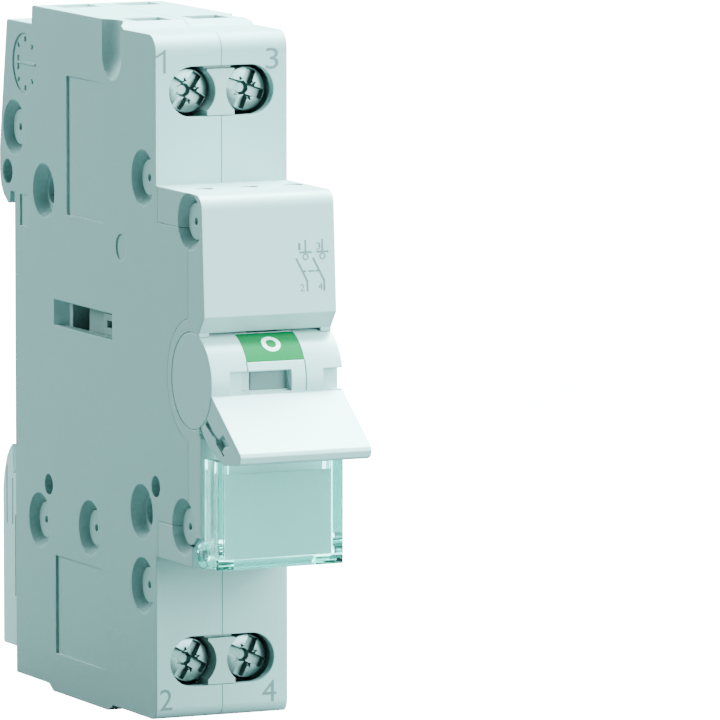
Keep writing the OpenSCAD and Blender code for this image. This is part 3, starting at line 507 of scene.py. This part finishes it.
def buildInsert(look):
    back = look["front"] + look["depth"]
    bm = bmesh.new()
    addBox(bm, (look["left"], look["front"], look["low"]), (look["right"], back, look["high"]))
    leftFront = [edge for edge in bm.edges if all(vert.co.x < 0
        and vert.co.y < look["front"] + look["edgeReach"] for vert in edge.verts)]
    bmesh.ops.bevel(bm, geom=leftFront, offset=look["round"], offset_type="OFFSET", affect="EDGES",
        segments=look["roundSteps"], profile=0.5, material=-1)
    bmesh.ops.scale(bm, verts=bm.verts, vec=(mm, mm, mm))
    shadeSmooth(meshPiece(bm, "drumInsertShade", "insertShadeGrey", "toggle"), look["smoothAngle"])


buildInsert(insert)
print("drum insert made")


# terminal screws: domed head with a combined slot and cross, on a helical thread

screws = {
    "headLength": 2.5, "dome": 0.12, "domeMiddle": 0.6, "domeRise": 0.3, "round": 0.16, "roundEase": 0.3,
    "underChamfer": 0.12, "coreRadius": 1.72, "tipChamfer": 0.5, "headSteps": 72, "mergeDistance": 1e-4,
    "armWidth": 1.5, "armReach": 0.96, "armDepth": 1.1, "armTaper": 0.72, "endTaper": 0.93,
    "wellTop": 1.4, "wellFoot": 0.6, "wellDepth": 1.75, "wellSides": 8, "wellProud": 0.01,
    "ribWidth": 0.3, "ribReach": 0.62, "ribDepth": 0.5, "ribTaper": 0.6,
    "crest": 2.0, "pitch": 0.7, "threadSteps": 32, "threadSink": 0.05, "threadStart": 0.3, "threadSpare": 1.3,
    "threadShape": (0.0, 0.26, 0.36, 0.62),  # foot, crest, crest and foot along one pitch
    "turns": {"screw_1": -34, "screw_2": -30, "screw_3": -20, "screw_4": -24},
    "edgeWidth": 0.05, "edgeSteps": 2, "edgeAngle": 40, "smoothAngle": 35,
}


def spinHead(bm, look, radius, length):
    # full turn of the screw's profile, points of (radius, depth), about the Y axis
    rim, dome, head, core = look["round"], look["dome"], look["headLength"], look["coreRadius"]
    ease, chamfer, tip = rim * look["roundEase"], look["underChamfer"], look["tipChamfer"]
    points = [(0, 0), (radius * look["domeMiddle"], dome * look["domeRise"]), (radius - rim, dome),
        (radius - ease, dome + ease), (radius, dome + rim), (radius, head - chamfer),
        (radius - chamfer, head), (core, head), (core, length - tip), (core - tip, length), (0, length)]
    verts = [bm.verts.new((reach, depth, 0)) for reach, depth in points]
    edges = [bm.edges.new(pair) for pair in zip(verts, verts[1:])]
    bmesh.ops.spin(bm, geom=verts + edges, cent=(0, 0, 0), axis=(0, 1, 0), angle=math.tau,
        steps=look["headSteps"], use_merge=True, use_duplicate=False)
    bmesh.ops.remove_doubles(bm, verts=bm.verts, dist=look["mergeDistance"])


def addThread(bm, look, length):
    # one closed profile carried along a helix under the head
    foot = look["coreRadius"] - look["threadSink"]
    pitch, steps = look["pitch"], look["threadSteps"]
    turns = (length - look["headLength"] - look["threadSpare"]) / pitch
    before = set(bm.verts)
    verts = [bm.verts.new((radius, share * pitch, 0)) for radius, share
        in zip((foot, look["crest"], look["crest"], foot), look["threadShape"])]
    start = bm.faces.new(verts)
    bmesh.ops.spin(bm, geom=list(start.verts) + list(start.edges) + [start], cent=(0, 0, 0),
        axis=(0, 1, 0), dvec=(0, pitch / steps, 0), angle=math.tau * turns, steps=round(steps * turns),
        use_merge=False, use_duplicate=False)
    thread = [vert for vert in bm.verts if vert not in before]
    bmesh.ops.translate(bm, verts=thread, vec=(0, look["headLength"] + look["threadStart"], 0))


def recessCutters(look, radius):
    # the slot and the cross taper inwards, round a well; thin ribs run between the arms
    cutters = []
    arm = (look["armReach"] * radius, look["armWidth"], look["armDepth"], look["armTaper"])
    rib = (look["ribReach"] * radius, look["ribWidth"], look["ribDepth"], look["ribTaper"])
    for angle, (half, width, depth, taper) in ((0, arm), (90, arm), (45, rib), (135, rib)):
        bm = bmesh.new()
        verts = addBox(bm, (-half, -1, -width / 2), (half, depth, width / 2))
        deep = [vert for vert in verts if vert.co.y > 0]
        bmesh.ops.scale(bm, verts=deep, vec=(look["endTaper"], 1, taper))
        bmesh.ops.rotate(bm, verts=verts, matrix=Matrix.Rotation(math.radians(angle), 3, "Y"))
        cutters.append(linkPiece(bm, "recessArm"))
    bm = bmesh.new()
    well = bmesh.ops.create_cone(bm, cap_ends=True, segments=look["wellSides"], radius1=look["wellTop"],
        radius2=look["wellFoot"], depth=look["wellDepth"])["verts"]
    bmesh.ops.rotate(bm, verts=well, matrix=Matrix.Rotation(-math.radians(90), 3, "X"))
    bmesh.ops.translate(bm, verts=well, vec=(0, look["wellDepth"] / 2 - look["wellProud"], 0))
    cutters.append(linkPiece(bm, "recessWell"))
    return cutters


def cutMesh(piece, cutters):
    # the piece's mesh less all the cutters; the piece and the cutters leave the scene
    for cutter in cutters:
        cut = piece.modifiers.new("cut", "BOOLEAN")
        cut.operation = "DIFFERENCE"
        cut.solver = "EXACT"
        cut.object = cutter
    mesh = bpy.data.meshes.new_from_object(piece.evaluated_get(bpy.context.evaluated_depsgraph_get()))
    for spare in cutters + [piece]:
        bpy.data.objects.remove(spare)
    bm = bmesh.new()
    bm.from_mesh(mesh)
    bpy.data.meshes.remove(mesh)
    return bm


def buildScrew(name, look):
    low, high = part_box(name)
    radius, length = (high[0] - low[0]) / 2 / mm, (high[1] - low[1]) / mm
    bm = bmesh.new()
    spinHead(bm, look, radius, length)
    bm = cutMesh(linkPiece(bm, name + "Blank"), recessCutters(look, radius))
    bmesh.ops.remove_doubles(bm, verts=bm.verts, dist=look["mergeDistance"])
    addThread(bm, look, length)
    turn = Matrix.Rotation(math.radians(-look["turns"][name]), 3, "Y")
    bmesh.ops.rotate(bm, verts=bm.verts, matrix=turn)
    bmesh.ops.scale(bm, verts=bm.verts, vec=(mm, mm, mm))
    bmesh.ops.translate(bm, verts=bm.verts, vec=((low[0] + high[0]) / 2, low[1], (low[2] + high[2]) / 2))
    piece = meshPiece(bm, name + "Detail", "zincSteel", name)
    edge = piece.modifiers.new("edges", "BEVEL")
    edge.width = look["edgeWidth"] * mm
    edge.segments = look["edgeSteps"]
    edge.limit_method = "ANGLE"
    edge.angle_limit = math.radians(look["edgeAngle"])
    shadeSmooth(piece, look["smoothAngle"])
    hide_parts(name)


for number in range(1, 5):
    buildScrew(f"screw_{number}", screws)
print("screws made")


# opening spring: round wire, wound between the carrier and the rear wall

openingSpring = {"wire": 0.09, "turns": 9, "steps": 28, "sides": 10, "keep": 0.728, "smoothAngle": 50}


def buildSpring(name, look):
    low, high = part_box(name)
    outer, length = (high[0] - low[0]) / 2 / mm, (high[1] - low[1]) / mm
    wire, turns, steps = look["wire"], look["turns"], look["steps"]
    pitch = (length - 2 * wire) / turns
    bm = bmesh.new()
    made = bmesh.ops.create_circle(bm, cap_ends=True, segments=look["sides"], radius=wire)["verts"]
    bmesh.ops.translate(bm, verts=made, vec=(outer - wire, wire, 0))
    bmesh.ops.spin(bm, geom=list(bm.verts) + list(bm.edges) + list(bm.faces), cent=(0, 0, 0),
        axis=(0, 1, 0), dvec=(0, pitch / steps, 0), angle=math.tau * turns, steps=steps * turns,
        use_merge=False, use_duplicate=False)
    bmesh.ops.scale(bm, verts=bm.verts, vec=(mm, mm, mm))
    bmesh.ops.translate(bm, verts=bm.verts, vec=((low[0] + high[0]) / 2, low[1], (low[2] + high[2]) / 2))
    piece = meshPiece(bm, "openingCoil", "springSteel", "case")
    shadeSmooth(piece, look["smoothAngle"])
    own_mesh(piece)
    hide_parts(name)


buildSpring("opening_spring", openingSpring)
print("opening spring wound")


# studio: what the camera sees is bright, and little of it falls back on to the object

studio = {
    "floorSize": 3.0, "floorZ": cadBox[0][2] - 0.2 * mm, "floorTint": (0.5, 0.5, 0.5),
    "bounceTint": (0.06, 0.08, 0.08), "paperRough": 0.9, "seenGlow": 18.0, "throughGlow": 6.0,
    "worldTint": (0.6, 1.0, 0.98), "worldLight": 0.12, "lightTint": (0.68, 1.0, 0.99), "aim": (0, -0.03, 0),
    "lights": {
        "topLight": {"place": (0.16, 0.01, 0.45), "size": 0.28, "power": 28.0},
        "topFrontLight": {"place": (0.05, -0.45, 0.50), "size": 0.3, "power": 3.5},
        "rightLight": {"place": (0.45, -0.25, 0.45), "size": 0.3, "power": 6.0},
        "frontLight": {"place": (0.36, -0.85, 0.14), "size": 0.55, "power": 20.0},
        "leftLight": {"place": (-0.47, 0.72, 0.30), "size": 0.4, "power": 12.4},
    },
}
view = {"place": (-0.48042, -1.12389, 0.14208), "turn": (83.191, 0.0, -24.797), "lens": 490.0, "sensor": 36.0,
    "near": 0.01, "far": 20}


def blendByRay(tree, ray, other, chosen):
    # a strength for one kind of ray, and another strength or output for the rest
    rays = addNode(tree, "ShaderNodeLightPath")
    pick = addNode(tree, "ShaderNodeMix", data_type="FLOAT")
    pick.inputs["B"].default_value = chosen
    if isinstance(other, float):
        pick.inputs["A"].default_value = other
    else:
        tree.links.new(other, pick.inputs["A"])
    tree.links.new(rays.outputs[ray], pick.inputs["Factor"])
    return pick.outputs["Result"]


def paperMaterial(look):
    material, tree, shader = newMaterial("floorPaper")
    shader.inputs["Base Color"].default_value = (*look["bounceTint"], 1)
    shader.inputs["Roughness"].default_value = look["paperRough"]
    shown = addNode(tree, "ShaderNodeBsdfPrincipled", Roughness=look["paperRough"])
    shown.inputs["Base Color"].default_value = (*look["floorTint"], 1)
    shown.inputs["Emission Color"].default_value = (1, 1, 1, 1)
    glow = blendByRay(tree, "Is Camera Ray", look["throughGlow"], look["seenGlow"])
    tree.links.new(glow, shown.inputs["Emission Strength"])
    rays = addNode(tree, "ShaderNodeLightPath")
    seen = addNode(tree, "ShaderNodeMath", operation="MAXIMUM")
    tree.links.new(rays.outputs["Is Camera Ray"], seen.inputs[0])
    tree.links.new(rays.outputs["Is Transmission Ray"], seen.inputs[1])
    pick = addNode(tree, "ShaderNodeMixShader")
    tree.links.new(seen.outputs["Value"], pick.inputs["Fac"])
    tree.links.new(shader.outputs["BSDF"], pick.inputs[1])
    tree.links.new(shown.outputs["BSDF"], pick.inputs[2])
    tree.links.new(pick.outputs["Shader"], tree.nodes["Material Output"].inputs["Surface"])
    material.cycles.emission_sampling = "NONE"
    return material


def buildFloor(look):
    bm = bmesh.new()
    bmesh.ops.create_grid(bm, x_segments=1, y_segments=1, size=look["floorSize"])
    bmesh.ops.translate(bm, verts=bm.verts, vec=(0, 0, look["floorZ"]))
    mesh = bpy.data.meshes.new("floor")
    bm.to_mesh(mesh)
    bm.free()
    mesh.materials.append(paperMaterial(look))
    floor = bpy.data.objects.new("floor", mesh)
    bpy.context.scene.collection.objects.link(floor)


def buildWorld(look):
    world = bpy.data.worlds.new("studioWorld")
    world.use_nodes = True
    tree = world.node_tree
    background = tree.nodes["Background"]
    background.inputs["Color"].default_value = (*look["worldTint"], 1)
    through = blendByRay(tree, "Is Transmission Ray", look["worldLight"], look["throughGlow"])
    seen = blendByRay(tree, "Is Camera Ray", through, look["seenGlow"])
    tree.links.new(seen, background.inputs["Strength"])
    bpy.context.scene.world = world


def addLight(name, look, tint, aim):
    data = bpy.data.lights.new(name, "AREA")
    data.shape = "SQUARE"
    data.size = look["size"]
    data.energy = look["power"]
    data.color = tint
    light = bpy.data.objects.new(name, data)
    light.location = look["place"]
    towards = Vector(aim) - Vector(look["place"])
    light.rotation_euler = towards.to_track_quat("-Z", "Y").to_euler()
    bpy.context.scene.collection.objects.link(light)


def addCamera(look):
    data = bpy.data.cameras.new("camera")
    data.lens = look["lens"]
    data.sensor_width = look["sensor"]
    data.clip_start = look["near"]
    data.clip_end = look["far"]
    camera = bpy.data.objects.new("camera", data)
    camera.location = look["place"]
    camera.rotation_euler = [math.radians(angle) for angle in look["turn"]]
    bpy.context.scene.collection.objects.link(camera)
    bpy.context.scene.camera = camera


buildFloor(studio)
buildWorld(studio)
for name, look in studio["lights"].items():
    addLight(name, look, studio["lightTint"], studio["aim"])
addCamera(view)
print("studio lit")
